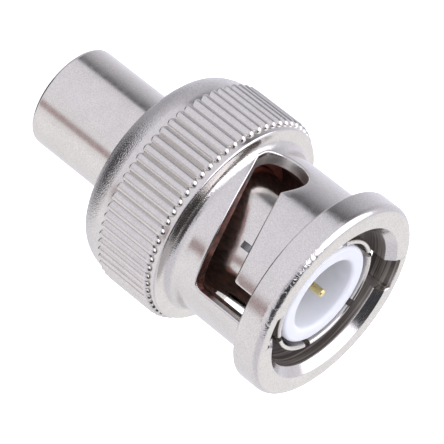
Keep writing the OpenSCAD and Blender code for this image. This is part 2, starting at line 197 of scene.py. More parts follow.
def dress(piece, material, slot, body=None, *nodes):
    """Gives a piece its material; the slot is not used. A new piece also rides on its body and replaces its
    nodes.
    """
    piece.data.materials.clear()
    piece.data.materials.append(material)
    if body:
        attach(piece, body)
    if nodes:
        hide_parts(*nodes)


def span(node):
    """Lowest and highest point of a CAD node, in millimetres."""
    low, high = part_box(node)
    return low[2] * 1000, high[2] * 1000


satin_nickel = plated("satin_nickel", (0.58, 0.55, 0.51), (0.76, 0.73, 0.667), (0.13, 0.2), lines=1.2e-7)
cap_end, cap_mouth = span("end_cap")
cap_radius, cap_bore, cap_floor = 3.5, 3.0, cap_end + 1.0
end_cap = turned("end_cap", rounded([
    (0, cap_end, 0), (cap_radius, cap_end, 0.18), (cap_radius, cap_mouth, 0.12), (cap_bore, cap_mouth, 0.04),
    (cap_bore, cap_floor, 0.1), (0, cap_floor, 0)]))
dress(end_cap, satin_nickel, "nickel_plate", "plug", "end_cap")


# Body
# The turned and plated core: a spigot in the cap, a neck that the nut turns on with the ring's groove, and
# a flange that seats the gasket. The outer contact is pressed into its front bore.

body_low, body_top = span("body")
ring_low, ring_top = span("retaining_ring")
flange_rear = span("wave_washer_front")[1]
contact_low = span("outer_contact")[0]
load_bore, spigot, neck, ring_groove = 2.1, 2.99, 3.8, 3.3
flange, seat, front_bore = 4.72, 4.21, 3.31
groove_top, seat_floor = ring_top + 0.02, body_top - 0.4
body = turned("body", rounded([
    (load_bore, contact_low, 0), (load_bore, body_low, 0.03), (spigot, body_low, 0.08),
    (spigot, cap_mouth, 0.02), (neck, cap_mouth, 0.08), (neck, ring_low, 0.03), (ring_groove, ring_low, 0.03),
    (ring_groove, groove_top, 0.03), (neck, groove_top, 0.03), (neck, flange_rear, 0.05),
    (flange, flange_rear, 0.06), (flange, body_top, 0.06), (seat, body_top, 0.03), (seat, seat_floor, 0.02),
    (front_bore, seat_floor, 0.02), (front_bore, contact_low, 0.02), (load_bore, contact_low, 0)], steps=3))
dress(body, satin_nickel, "nickel_plate", "plug", "body")


# Retaining ring and spring washers
# An open ring of spring steel in the neck's groove holds the nut. A flat steel washer and two wave washers,
# stamped from bronze sheet, push the nut back against it; the waves flatten when the nut is pulled forward.

spring_steel = plated("spring_steel", (0.42, 0.43, 0.45), (0.56, 0.57, 0.59), (0.2, 0.34), lines=3e-7)
spring_bronze = plated("spring_bronze", (0.45, 0.29, 0.14), (0.62, 0.43, 0.22), (0.22, 0.36), lines=3e-7)
for name in ("retaining_ring", "thrust_washer"):
    dress(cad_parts[name], spring_steel, "spring_steel")

wave_sheet, wave_inner, wave_outer, waves = 0.25, neck + 0.1, 4.65, 3
wave_middle = (wave_inner + wave_outer) / 2
wave_section = rounded([(wave_middle, 0, 0), (wave_outer, 0, 0.04), (wave_outer, wave_sheet, 0.04),
                        (wave_inner, wave_sheet, 0.04), (wave_inner, 0, 0.04), (wave_middle, 0, 0)], steps=2)
wave_turns = np.linspace(0, 360, 145)
for name, phase in (("wave_washer_rear", 0), ("wave_washer_front", 180)):
    # The height swings with the cosine of three times the turn, and each washer's crests meet the other's
    wave_low, wave_high = span(name)
    swing = (wave_high - wave_low - wave_sheet) / 2
    wave = lathe(wave_section, wave_turns)
    wave[..., 2] += wave_low + swing * (1 + np.cos(np.radians(waves * wave_turns + phase)))
    washer = skin(name, [wave])
    dress(washer, spring_bronze, "spring_bronze", "plug", name)
    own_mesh(washer)


# Gasket
# A flat ring punched from dark red silicone rubber, lying on the body's flange round the contact's root.
# The jack's rim presses on it when the plug is locked.

seal_rubber, tree, shader, place = surface("seal_rubber", Specular_IOR_Level=0.35)
mottle = noise(tree, place, 1800.0, 4.0)
wire(tree, shader, Base_Color=mixed(tree, mottle, (0.11, 0.032, 0.025), (0.55, 0.14, 0.10)),
     Roughness=levels(tree, mottle, 0.35, 0.6), Normal=bumped(tree, noise(tree, place, 9000.0, 3.0), 4e-6))
gasket_low, gasket_top = span("gasket")
crown, crown_foot = gasket_top + 0.3, gasket_top + 0.02
gasket_inner, gasket_middle, gasket_outer = 3.94, 4.4, 4.7
gasket = turned("gasket", rounded([
    (gasket_middle, gasket_low, 0), (gasket_outer, gasket_low, 0.1), (gasket_outer, crown, 0.2),
    (gasket_inner, crown, 0.15), (gasket_inner, crown_foot, 0.05), (seat, crown_foot, 0.02),
    (seat, gasket_low, 0.05), (gasket_middle, gasket_low, 0)]))
dress(gasket, seal_rubber, "seal_rubber", "plug", "gasket")


# Outer contact
# A thin sleeve of plated spring brass with six slots, which leave six fingers with rounded tips. They
# spring in the jack's bore; the sleeve's shank is pressed into the body.

contact_top = span("outer_contact")[1]
finger_root, flare_low, flare_top = contact_top - 4.75, contact_top - 3.2, contact_top - 1.4
outer_root, outer, waist, inner, tip_outer, tip_inner = 3.92, 3.7, 3.61, 3.47, 4.04, 3.7
collar_radius, shank, shank_bore, web = 4.2, 3.3, 2.75, body_top + 0.4
half_gap, sector, finger_columns = 0.23, 60.0, 9
middles = np.arange(6) * sector
tip, tip_round = np.radians(np.linspace(0, 180, 9)), (tip_outer - tip_inner) / 2
finger = np.concatenate([
    [[outer, finger_root], [waist, flare_low], [tip_outer, flare_top]],
    np.stack([tip_inner + tip_round + tip_round * np.cos(tip),
              contact_top - tip_round + tip_round * np.sin(tip)], 1),
    [[tip_inner, flare_top], [inner, flare_low], [inner, finger_root]]])


def gap_turn(radius):
    """Turn that half a slot with parallel sides takes at a radius: the arcsine of half the gap over it."""
    return np.degrees(np.arcsin(half_gap / radius))


def finger_skin(section, middle):
    """A finger: each section point (r, h) swept over its sector, less half a slot at either side."""
    r, h = section.T[:, :, None]
    t = np.radians(middle + (sector / 2 - gap_turn(r)) * np.linspace(-1, 1, finger_columns)[None])
    return np.stack(np.broadcast_arrays(r * np.cos(t), r * np.sin(t), h), -1)


def sleeve_turns(radius):
    """Columns round the sleeve under the slots: those of each finger, and one in the middle of each slot."""
    reach = sector / 2 - gap_turn(radius)
    each = [np.append(m + reach * np.linspace(-1, 1, finger_columns), m + sector / 2) for m in middles]
    return np.append(np.concatenate(each), 360 - reach)


fingers = [finger_skin(finger, m) for m in middles]
half = len(finger) // 2
flanks = [np.stack([f[:half + 1, k], f[::-1][:half + 1, k]]) for f in fingers for k in (0, -1)]
outside, inside = sleeve_turns(outer), sleeve_turns(inner)
sleeve = [lathe([(outer_root, crown_foot), (outer, finger_root)], outside),
          lathe([(inner, finger_root), (inner, web)], inside)]
top = np.concatenate([lathe([(outer, finger_root)], outside), lathe([(inner, finger_root)], inside)])
slot_floors = [top[:, k:k + 3] for k in range(finger_columns - 1, len(outside) - 1, finger_columns + 1)]
base = rounded([(outer_root, crown_foot, 0), (outer_root, gasket_top, 0.01), (collar_radius, gasket_top, 0.05),
                (collar_radius, seat_floor, 0.03), (shank, seat_floor, 0.02), (shank, contact_low, 0.08),
                (shank_bore, contact_low, 0.04), (shank_bore, web, 0.02), (inner, web, 0)], steps=2)
shank_skin = np.concatenate([lathe(base[:-1], outside), lathe(base[-1:], inside)])
outer_contact = skin("outer_contact", fingers + flanks + sleeve + [shank_skin] + slot_floors)
dress(outer_contact, satin_nickel, "nickel_plate", "plug", "outer_contact")


# Insulator and bead
# Cups turned from white fluoropolymer, waxy and faintly translucent. The front one fills the contact and
# leaves a bore round the pin; the rear bead traps the pin's collar in the shank.

white_insulator, tree, shader, place = surface(
    "white_insulator", Subsurface_Weight=0.7, Subsurface_Radius=(0.0011, 0.0011, 0.0012),
    Subsurface_Scale=1.0, Specular_IOR_Level=0.35)
milk = noise(tree, place, 900.0, 3.0)
wire(tree, shader, Base_Color=mixed(tree, milk, (0.75, 0.765, 0.79), (0.80, 0.815, 0.83)),
     Roughness=levels(tree, milk, 0.38, 0.55),
     Normal=bumped(tree, level_lines(tree, place, 60.0, 8000.0), 2e-6))
insulator_low, insulator_top = span("insulator")
pin_hole, tail, relief, insulator_radius, well = 0.86, 2.74, 3.15, 3.45, 2.45
relief_end, relief_top, web_top = finger_root + 1.2, finger_root + 1.5, web + 1.4
insulator = turned("insulator", rounded([
    (pin_hole, insulator_low, 0), (tail, insulator_low, 0.05), (tail, web, 0.02), (relief, web, 0.05),
    (relief, relief_end, 0.05), (insulator_radius, relief_top, 0.05), (insulator_radius, insulator_top, 0.22),
    (well, insulator_top, 0.22), (well, web_top, 0.6), (pin_hole, web_top, 0.02),
    (pin_hole, insulator_low, 0)], steps=6))
dress(insulator, white_insulator, "white_insulator", "plug", "insulator")
dress(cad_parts["rear_bead"], white_insulator, "white_insulator")


# Centre pin
# Turned brass with thin gold plate, stepped down to a thin nose with a blunt end. Its collar sits between the
# insulator and the bead, and the resistor's lead is soldered into its tail.

gold_plate = plated("gold_plate", (0.80, 0.66, 0.28), (0.93, 0.80, 0.40), (0.16, 0.28), lines=2e-7)
pin_low, pin_top = span("centre_pin")
pin, nose, pin_seat, collar = 0.675, 0.26, 0.85, 1.1
collar_low, taper_low, taper_top = insulator_low - 0.6, pin_top - 1.4, pin_top - 1.0
centre_pin = turned("centre_pin", rounded([
    (0, pin_low, 0), (pin_seat, pin_low, 0.06), (pin_seat, collar_low, 0.02), (collar, collar_low, 0.05),
    (collar, insulator_low, 0.03), (pin_seat, insulator_low, 0.02), (pin_seat, web_top, 0.08),
    (pin, web_top, 0.03), (pin, taper_low, 0.1), (nose, taper_top, 0.1), (nose, pin_top, 0.1),
    (0, pin_top, 0)]), columns=64)
dress(centre_pin, gold_plate, "gold_plate", "plug", "centre_pin")


# Load resistor
# A lacquered ceramic rod with thick ends in a white sleeve. Tinned leads join it to the pin's tail and to the
# cap's floor with a little solder at each end.

enamel, tree, shader, place = surface("enamel", Coat_Weight=0.6)
cloudy = noise(tree, place, 2500.0, 5.0)
wire(tree, shader, Base_Color=mixed(tree, cloudy, (0.13, 0.34, 0.42), (0.24, 0.47, 0.55)),
     Roughness=levels(tree, cloudy, 0.25, 0.45))
tinned = plated("tinned_wire", (0.52, 0.51, 0.49), (0.66, 0.65, 0.62), (0.22, 0.4), lines=4e-7)
bright_solder = plated("bright_solder", (0.45, 0.46, 0.47), (0.62, 0.63, 0.64), (0.16, 0.34), grain=2e-6)
for name, finish, slot in (
        ("resistor", enamel, "enamel"), ("resistor_sleeve", white_insulator, "white_insulator"),
        ("front_lead", tinned, "tinned_wire"), ("rear_lead", tinned, "tinned_wire"),
        ("front_solder", bright_solder, "solder"), ("rear_solder", bright_solder, "solder")):
    dress(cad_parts[name], finish, slot)


# Coupling nut
# Turned from brass bar, knurled with 63 raised ribs, milled with two bayonet tracks, then tumbled, which
# rounds the slots' edges, and plated. It turns freely on the neck and is pulled forward to lock.

nut_rear, nut_front = span("coupling_nut")
barrel, bore, knurl, rear_face, front_flange = 5.7, 4.9, 7.25, 5.9, 6.8
flange_back, groove_radius, groove_dish, mouth_cut = nut_front - 1.85, 5.88, 0.08, 0.5
rib_root, shoulder_z = knurl - 0.19, nut_rear + 2.05
rib_end, rib_nose, rib_heel = shoulder_z + 4.17, 0.42, 0.2
rim, block_z, fillet, fillet_power = knurl - 0.33, rib_end + 0.32, 1.0, 2.7
lip, lip_rear, lip_front, recess = 3.85, nut_rear + 0.6, nut_rear + 1.7, 5.0
bore_foot = lip_front + 0.4
edge, lug_half, deg, tiny = 0.12, 1.1, np.degrees(1 / barrel), 1e-5


def beside(radius):
    """Turn of a wall parallel to the entry's middle: the arcsine of the lug's half width over the radius."""
    return np.degrees(np.arcsin(lug_half / radius))


# The track's outline on the barrel, by the turn from the entry: the cam, its walls and the round detent
lock_turn, detent_z, detent_lead = 88.0, nut_front - 6.3, 15
cam_z, cam_fall, cam_start = nut_front - 5.0, 2.5, 11.5
detent, half_slot, corner, nose_round = 1.6 + edge, 1.2 + edge, 0.5 + edge, 0.25 - edge
entry = beside(barrel)
entry_edge, slot_end = entry + edge * deg, lock_turn + detent * deg
flare, wall_foot = beside(bore) - entry, 5.22
undercut, undercut_top, undercut_rise = 4.4, flange_back - 0.9, 0.8


def cam(turn):
    """Height of the slot's centre line: level, then falling by the cosine of the turn."""
    return cam_z - cam_fall * (1 - np.cos(np.radians(np.maximum(0, turn - cam_start))))


def quarter(distance, size):
    """Rise of a round corner of that size at a distance from its side: size - sqrt(size^2 - (size - d)^2)."""
    d = np.clip(size - distance, 0, size)
    return size - np.sqrt(size ** 2 - d ** 2)


def detent_half(turn):
    """Half height of the detent's round end at a turn past its centre: sqrt(radius^2 - distance^2)."""
    return np.sqrt(np.maximum(0, detent ** 2 - (np.clip(turn - lock_turn, 0, None) / deg) ** 2))


def rear_edge(turn):
    """Rear edge of the slot: a round corner at the entry, the cam, then the detent's lower half."""
    track = np.maximum(cam(turn) - half_slot, detent_z - detent) + quarter((turn + entry_edge) / deg, corner)
    return np.where(turn < lock_turn, track, detent_z - detent_half(turn))


def front_edge(turn):
    """Front edge of the slot: a small round nose at the entry, the cam, then a step up into the detent."""
    lead = np.clip((turn - lock_turn + detent_lead) / detent_lead, 0, 1)
    track = cam(np.minimum(turn, lock_turn - detent_lead)) + half_slot
    track = track + (detent_z + detent - track) * np.sin(np.pi / 2 * lead)
    track = np.where(turn < lock_turn, track, detent_z + detent_half(turn))
    return track + quarter((turn - entry_edge) / deg, nose_round)


# Columns round the nut: the slots' own stations, and twelve for each rib that stay clear of those
roll = np.linspace(0, 90, 5)
edge_steps = entry_edge - edge * deg * np.sin(np.radians(roll))
corner_arc, nose_arc, detent_arc = np.arange(12, 91, 13), [30, 60, 90], np.arange(0, 91, 7.5)
entry_steps, cam_steps = np.arange(-4, 6.1, 3.4), np.arange(16, 88, 2.4)
stations = np.concatenate([
    -edge_steps, edge_steps, -entry_edge + corner * deg * (1 - np.cos(np.radians(corner_arc))), entry_steps,
    entry_edge + nose_round * deg * (1 - np.cos(np.radians(nose_arc))), cam_steps,
    lock_turn + detent * deg * np.sin(np.radians(detent_arc))])
stations = np.unique(np.round(np.concatenate([stations, stations + 180]), 6))
ribs, first_rib, station_room = 63, -0.57, 0.12
pitch, knurl_deg = 360 / ribs, np.degrees(1 / knurl)
half_pitch = pitch / knurl_deg / 2
flank_steps = np.array([0.05, 0.095, 0.14, 0.2, 0.27])
rib_steps = np.concatenate([-flank_steps, [0], flank_steps, [half_pitch]]) * knurl_deg
teeth = (first_rib + pitch * np.arange(ribs)[:, None] + rib_steps).ravel()
from_station = np.abs((teeth[:, None] - stations[None] + 180) % 360 - 180).min(1)
from_entry = np.abs((teeth + 90) % 180 - 90)
clear = (from_station > station_room) & ((from_entry < entry) | (from_entry > entry_edge))
seam = 60
turns = np.sort(np.concatenate([stations, (teeth[clear] + seam) % 360 - seam]))
turns = np.append(turns, turns[0] + 360)
local = (turns + seam) % 180 - seam
off_entry = np.abs(local)


def ring(r, z, turn=turns):
    """Points round the nut at radius r and height z, by the turn away from the entry, which runs backwards."""
    t = -np.radians(turn)
    return np.stack(np.broadcast_arrays(r * np.cos(t), r * np.sin(t), z), -1)


def rows(section, turn=turns):
    """Each point (r, z) of a section carried round the nut."""
    section = np.asarray(section, float)
    return ring(section[:, :1], section[:, 1:], turn)


def barrel_radius(z):
    """Radius of the barrel's skin, with the fillet at its foot that runs out to the knurl's front rim.

    The fillet is a quarter of a superellipse: the shares of its depth and width, each to a power, sum to 1.
    """
    drop = np.clip((block_z + fillet - z) / fillet, 0, 1)
    return barrel + fillet * (1 - (1 - drop ** fillet_power) ** (1 / fillet_power))


def rib_shape(crown=0.1, crown_half=0.25, groove=0.17, groove_foot=0.05, groove_half=0.2, end_half=0.33):
    """Radius of the knurl by column, and how far each column is within the round end of its rib.

    A rib falls from its crest with the square of the distance, and a groove's walls rise in a straight line.
    The ends are ellipses in plan: the reach is the root of one less the square of the distance's share.
    """
    x = np.abs(((turns - first_rib) / pitch + 0.5) % 1 - 0.5) * pitch / knurl_deg
    fall = np.maximum(crown * ((half_pitch - x) / crown_half) ** 2,
                      np.interp(x, [groove_foot, groove_half], [groove, 0]))
    return knurl - fall, np.sqrt(np.clip(1 - ((half_pitch - x) / end_half) ** 2, 0, 1))


def between_entries(limit):
    """Stretches of columns outside the entries, with faces at least that turn from an entry's middle."""
    faces = np.flatnonzero(np.abs(local[:-1] + local[1:]) / 2 >= limit)
    return [slice(run[0], run[-1] + 2) for run in np.split(faces, np.flatnonzero(np.diff(faces) > 1) + 1)]


# The slots' rear and front edges by column; away from the slots both are one line from slot to slot
in_slot = (local >= -entry_edge - tiny) & (local <= slot_end + tiny)
entry_corner = rear_edge(np.array([-entry_edge]))[0]
split = np.interp(local % 180, [slot_end, 180 - entry_edge], [detent_z, entry_corner])
low = np.where(in_slot, rear_edge(local), split)
high = np.where(in_slot & (local > -entry_edge + tiny), front_edge(local), split)
high = np.where(np.abs(local + entry_edge) < tiny, low, high)
rise, climb = np.linspace(0, 1, 14)[:, None] ** 2.2, np.linspace(0, 1, 6)[:, None]
rungs = len(climb)

# Rear: the lip in the neck, the recess over the retaining ring, the rear face and the rounded shoulder
lip_section = [(bore, bore_foot), (bore, lip_front), (lip, lip_front), (lip, lip_rear), (recess, lip_rear),
               (recess, nut_rear)]
fall = np.radians(np.linspace(90, 0, 11))
shoulder = np.stack([rear_face + (rib_root - rear_face) * np.cos(fall),
                     shoulder_z - (shoulder_z - nut_rear) * np.sin(fall)], 1)
# Knurl: rib ends with a rounded edge at the rear, straight flanks, and noses that run down to a plain rim.
# A heel's rows are given by the share of the rib's height and the distance from its end
rib, reach = rib_shape()
heel = ((0, 0), (0.5, 0.004), (0.77, 0.018), (0.93, 0.055), (1, 0.11), (1, 0.4), (1, 2.0))
heels = [ring(rib_root + share * (rib - rib_root), shoulder_z + rib_heel * (1 - reach) + dz)
         for share, dz in heel]
nose_bend, nose_length = np.radians(np.linspace(0, 90, 9))[:, None], 0.2 + 0.8 * reach
noses = ring(rim + np.cos(nose_bend) * (rib - rim),
             rib_end - rib_nose + rib_nose * np.sin(nose_bend) * nose_length)
rim_section = rounded([(rim, rib_end, 0), (rim, block_z, 0.16), (barrel + fillet, block_z, 0)])
# Barrel: the part behind the slots, then the part in front of them, which is open at the entries
behind_z = block_z + rise * (low - block_z)
patches = [np.concatenate([rows(lip_section), rows(shoulder), heels, noses, rows(rim_section[1:-1]),
                           ring(barrel_radius(behind_z), behind_z)])]
ahead = ring(barrel, high + climb * (flange_back - high))
patches += [ahead[:, stretch] for stretch in between_entries(entry_edge)]
# Front flange: its rear face starts at the slots' rounded edges, and under it the entry grooves are cut
marks = np.concatenate([-edge_steps, edge_steps])
nearest = marks[np.argmin(np.abs(local[:, None] - marks[None]), 1)]
held = np.where((off_entry > entry) & (off_entry < entry_edge), nearest, local)
shy = np.clip((entry_edge - np.abs(held)) / (edge * deg), 0, 1)
edge_radius = barrel - edge + edge * np.sqrt(1 - shy ** 2)
at_wall = np.abs(off_entry - entry) < tiny
groove_turns = turns + np.where(at_wall, np.sign(local) * (beside(groove_radius) - entry), 0)
back_radius = np.where(off_entry < entry - tiny, barrel - groove_dish, groove_radius)
flange_section = rounded([(groove_radius, flange_back, 0), (front_flange, flange_back, 0.12),
                          (front_flange, nut_front, 0.5), (groove_radius, nut_front, 0)], steps=5)
face = ring(groove_radius, nut_front, groove_turns)
patches.append(np.concatenate([[ring(back_radius, flange_back, groove_turns)],
                               rows(flange_section[1:-1]), [face]]))
under = np.stack([ring(edge_radius, flange_back, turns + held - local),
                  ring(groove_radius, flange_back, groove_turns)])
wall_turn = entry + flare
on_wall = (off_entry >= entry - tiny) & (off_entry < wall_turn)
bore_turns = turns + np.where(on_wall, np.sign(local) * wall_turn - local, 0)
mouth_section = rounded([(groove_radius, nut_front, 0), (bore + mouth_cut, nut_front, 0.04),
                         (bore, nut_front - mouth_cut, 0.04), (bore, flange_back, 0)], steps=1)
mouth = np.concatenate([[face], rows(mouth_section[1:], bore_turns)])
patches += [part[:, stretch] for part in (under, mouth) for stretch in between_entries(entry)]
# Bore: one skin behind the slots and one ahead of them, whose edges follow the slots' inner outlines
patches.append(rows([(bore, bore_foot), (bore, block_z)]))
lower_turn, lower_z = np.tile(turns, (rungs, 1)), block_z + climb * (low - block_z)
upper_turn, upper_z = turns + climb * (bore_turns - turns), high + climb * (flange_back - high)
mouth_r, mouth_z = mouth_section.T
floor_z = np.linspace(nut_front, flange_back, len(mouth_section))
wall_share = (barrel - edge - bore) / (groove_radius - bore)
foot_share = (wall_foot - bore) / (groove_radius - bore)
for slot_turn in (0.0, 180.0):
    lead_edge, lead_wall, far_wall, far_edge, end = (
        int(np.argmin(np.abs(turns - slot_turn - turn)))
        for turn in (-entry_edge, -entry, entry, entry_edge, slot_end))
    # The outline on the barrel: down the entry's leading side, along the rear edge, back along the front edge
    back_columns, front_columns = np.arange(lead_edge, end + 1), np.arange(end, far_edge - 1, -1)
    track = np.concatenate([
        np.stack([np.full(rungs, turns[lead_edge]), upper_z[::-1, lead_edge]], 1)[:-1],
        np.stack([turns[back_columns], low[back_columns]], 1),
        np.stack([turns[front_columns], high[front_columns]], 1)[1:],
        np.stack([np.full(rungs, turns[far_edge]), upper_z[:, far_edge]], 1)[1:]])
    along = np.gradient(track / [deg, 1], axis=0)
    along[[0, -1]] = [[0, -1], [0, 1]]
    along /= np.linalg.norm(along, axis=1)[:, None]
    into = np.stack([along[:, 1], -along[:, 0]], 1)
    # The wall: an edge rolled through a quarter circle, then straight in to the bore with its undercut
    bend = np.radians(roll)[:, None]
    rolled = track - edge * np.sin(bend)[..., None] * into * [deg, 1]
    rolled_radius = barrel_radius(track[:, 1]) - edge + edge * np.cos(bend)
    wall_top = track - edge * into * [deg, 1]
    depth = np.clip(undercut_top - track[:, 1:], 0, undercut_rise) / undercut_rise
    faces_back = into[:, :1] < -0.5
    lean = flare + undercut * faces_back * depth
    straight = wall_top + (beside(wall_foot) - entry) * into * [1, 0]
    inner_track = wall_top + lean * into * [1, 0]
    patches.append(np.concatenate([
        ring(rolled_radius, rolled[..., 1], rolled[..., 0]), [ring(wall_foot, straight[:, 1], straight[:, 0])],
        [ring(bore, inner_track[:, 1], inner_track[:, 0])]]))
    front_start = rungs - 2 + len(back_columns)
    back_turn, back_z = inner_track[rungs - 1:rungs - 1 + len(back_columns)].T
    front_turn, front_z = inner_track[front_start:front_start + len(front_columns)].T
    lower_z[:, back_columns] = block_z + climb * (back_z - block_z)
    lower_turn[:, back_columns] = turns[back_columns] + climb * (back_turn - turns[back_columns])
    upper_z[:, front_columns] = front_z + climb * (flange_back - front_z)
    upper_turn[:, front_columns] = front_turn + climb * (bore_turns[front_columns] - front_turn)
    upper_turn[:, lead_edge], upper_z[:, lead_edge] = inner_track[:rungs][::-1].T
    upper_turn[:, far_edge], upper_z[:, far_edge] = inner_track[-rungs:].T
    # Entry groove under the flange: a dished floor, and two walls from the bore to that floor
    columns = np.arange(lead_wall, far_wall + 1)
    dish = np.linspace(0, 1, len(floor_z))[:, None] * (back_radius[columns] - groove_radius)
    patches.append(ring(groove_radius + dish, floor_z[:, None], groove_turns[columns]))
    for column, sign in ((lead_wall, -1), (far_wall, 1)):
        bore_side = np.full(len(floor_z) - 1, slot_turn + sign * wall_turn)
        mouth_edge = ring(mouth_r, mouth_z, np.append(groove_turns[column], bore_side))
        foot_r = mouth_r + foot_share * (groove_radius - mouth_r)
        foot = ring(foot_r, mouth_z + foot_share * (floor_z - mouth_z), slot_turn + sign * beside(foot_r))
        middle = ring(mouth_r + wall_share * (groove_radius - mouth_r),
                      mouth_z + wall_share * (floor_z - mouth_z), turns[column])
        middle[0] = mouth_edge[0]
        floor_edge = ring(groove_radius, floor_z, groove_turns[column])
        patches.append(np.stack([mouth_edge, foot, middle, floor_edge], 1))
patches.append(ring(bore, lower_z, lower_turn))
upper = ring(bore, upper_z, upper_turn)
patches += [upper[:, stretch] for stretch in between_entries(entry_edge)]
coupling_nut = skin("coupling_nut", patches)


def fade(tree, value, start, end):
    """A smooth step of a value, from 0 at start to 1 at end."""
    return add(tree, "ShaderNodeMapRange", {"Value": value, "From Min": start, "From Max": end},
               interpolation_type="SMOOTHSTEP").outputs["Result"]


def times(tree, product, *factors):
    """Product of factors."""
    for factor in factors:
        product = add(tree, "ShaderNodeMath", {0: product, 1: factor}, operation="MULTIPLY").outputs["Value"]
    return product


def larger(tree, one, other):
    """The larger of two values."""
    return add(tree, "ShaderNodeMath", {0: one, 1: other}, operation="MAXIMUM").outputs["Value"]


def graded(tree, factor, first, second):
    """Goes from the first value to the second as the factor goes from 0 to 1."""
    return add(tree, "ShaderNodeMix", {"Factor": factor, "A": first, "B": second}).outputs["Result"]


nut_nickel = plated("nut_nickel", (0.57, 0.545, 0.513), (0.74, 0.71, 0.662), (0.13, 0.2), lines=1.2e-7)
tree = nut_nickel.node_tree
shader = tree.nodes["Principled BSDF"]
colour, gloss, normal = (shader.inputs[key].links[0].from_socket
                         for key in ("Base Color", "Roughness", "Normal"))
place = add(tree, "ShaderNodeTexCoord").outputs["Object"]
axes = add(tree, "ShaderNodeSeparateXYZ", {"Vector": place})
level = add(tree, "ShaderNodeCombineXYZ", {"X": axes.outputs["X"], "Y": axes.outputs["Y"]}).outputs["Vector"]
radius = add(tree, "ShaderNodeVectorMath", {0: level}, operation="LENGTH").outputs["Value"]
off_detent = add(tree, "ShaderNodeMath", {0: axes.outputs["X"]}, operation="ABSOLUTE").outputs["Value"]


def by_radius(start, end):
    """A smooth step over the distance from the nut's axis, in millimetres."""
    return fade(tree, radius, start * mm, end * mm)


def by_height(start, end):
    """A smooth step over the height, in millimetres."""
    return fade(tree, axes.outputs["Z"], start * mm, end * mm)


# Inside, the plate is thin and the brass shines through in dull level streaks near the mouth. Deeper in, the
# bore is painted darker away from the mouth as painted shade, with dark red mottle that is a painted
# reflection of the red gasket; the milled walls deep in the slots are painted darker and red in the same way
streaks = levels(tree, level_lines(tree, place, 120.0, 8000.0, detail=4.0), 0.0, 1.0, 0.45, 0.68)
reddish_mottle = levels(tree, noise(tree, place, 2600.0, 4.0, Roughness=0.7), 0.0, 1.0, 0.4, 0.65)
# Painted shade and painted reflection: deeper in, the bore turns dark brown with red mottle standing for the
# red gasket reflected in it
shade_and_gasket_reflection = mixed(tree, times(tree, reddish_mottle, by_height(nut_front - 3.0, nut_front - 4.2)),
               (0.14, 0.118, 0.102), (0.46, 0.23, 0.175))
# Light brass streaks near the mouth, going over into the painted shade further in
brown = mixed(tree, times(tree, streaks, by_height(nut_front - 2.8, nut_front - 1.8)),
              shade_and_gasket_reflection, (0.50, 0.46, 0.40))
# Painted shade and painted reflection: dark red for the red gasket seen in the shaded slot walls
wall_shade_and_gasket_reflection = mixed(tree, reddish_mottle, (0.15, 0.09, 0.075), (0.44, 0.17, 0.125))
below_mouth = by_height(nut_front - mouth_cut, nut_front - mouth_cut - 0.12)
inner_side = times(tree, by_radius(bore + 0.06, bore + 0.02), below_mouth)
groove_floor = times(tree, by_radius(barrel - 0.2, barrel - 0.1),
                     by_radius(groove_radius + 0.07, groove_radius + 0.02),
                     by_height(nut_front - 0.02, nut_front - 0.1), by_height(flange_back, flange_back + 0.1))
bare = larger(tree, inner_side, groove_floor)
within = by_radius(barrel - 0.08, barrel - 0.16)
# Mask of the slot's walls deep in, which get the painted shade and painted reflection of the gasket
milled = times(tree, within, by_height(nut_front - 4.6, nut_front - 5.2),
               fade(tree, off_detent, 1.4 * mm, 2.6 * mm))
colour = mixed(tree, bare, mixed(tree, milled, colour, wall_shade_and_gasket_reflection), brown)
# The ribs are duller than the turned faces, because tumbling hardly reaches between them
on_ribs = times(tree, by_radius(rib_root - 0.02, rib_root + 0.03), by_height(rib_end - 0.3, rib_end - 0.42))
gloss = graded(tree, times(tree, within, below_mouth), graded(tree, on_ribs, gloss, 0.27), 0.42)
# Tumbling leaves the shoulder and the fillet rough, and knocks dent the front flange's edge at one side
on_fillet = times(tree, by_height(block_z - 0.1, block_z), by_height(block_z + 1.1, block_z + 0.6), 0.3)
rough_skin = larger(tree, by_height(shoulder_z - 0.2, shoulder_z - 0.7), on_fillet)
normal = bumped(tree, noise(tree, place, 11000.0, 2.0), 3e-5, Strength=rough_skin, Normal=normal)
knocked_way = (0.87, -0.49, 0.0)
knocked = add(tree, "ShaderNodeVectorMath", {0: place, 1: knocked_way}, operation="DOT_PRODUCT")
on_edge = times(tree, by_radius(front_flange - 0.6, front_flange - 0.4),
                by_height(nut_front - 0.6, nut_front - 0.45),
                fade(tree, knocked.outputs["Value"], 5.2 * mm, 6.2 * mm))
normal = bumped(tree, noise(tree, place, 3000.0, 4.0), 6e-5, Strength=on_edge, Normal=normal)
wire(tree, shader, Base_Color=colour, Metallic=graded(tree, bare, 1.0, 0.5), Roughness=gloss, Normal=normal)
dress(coupling_nut, nut_nickel, "nickel_plate", "nut", "coupling_nut")


# Floor, light and camera
# A plain white table in a pale studio. A long dark flag stands at the right, a wooden edge at the left, a soft
# box and two black cards hang overhead; the camera looks down on the nut from close to its slot.

floor_mesh = bpy.data.meshes.new("floor")
floor_mesh.from_pydata(np.array([(-2, -2, 0), (2, -2, 0), (2, 2, 0), (-2, 2, 0)], float), [], [(0, 1, 2, 3)])
floor = bpy.data.objects.new("floor", floor_mesh)
bpy.context.scene.collection.objects.link(floor)
table_white = surface("table_white", Base_Color=(0.92, 0.92, 0.92, 1), Roughness=0.9,
                      Emission_Color=(1, 1, 1, 1), Emission_Strength=0.75)[0]
floor_mesh.materials.append(table_white)
floor.visible_glossy = False

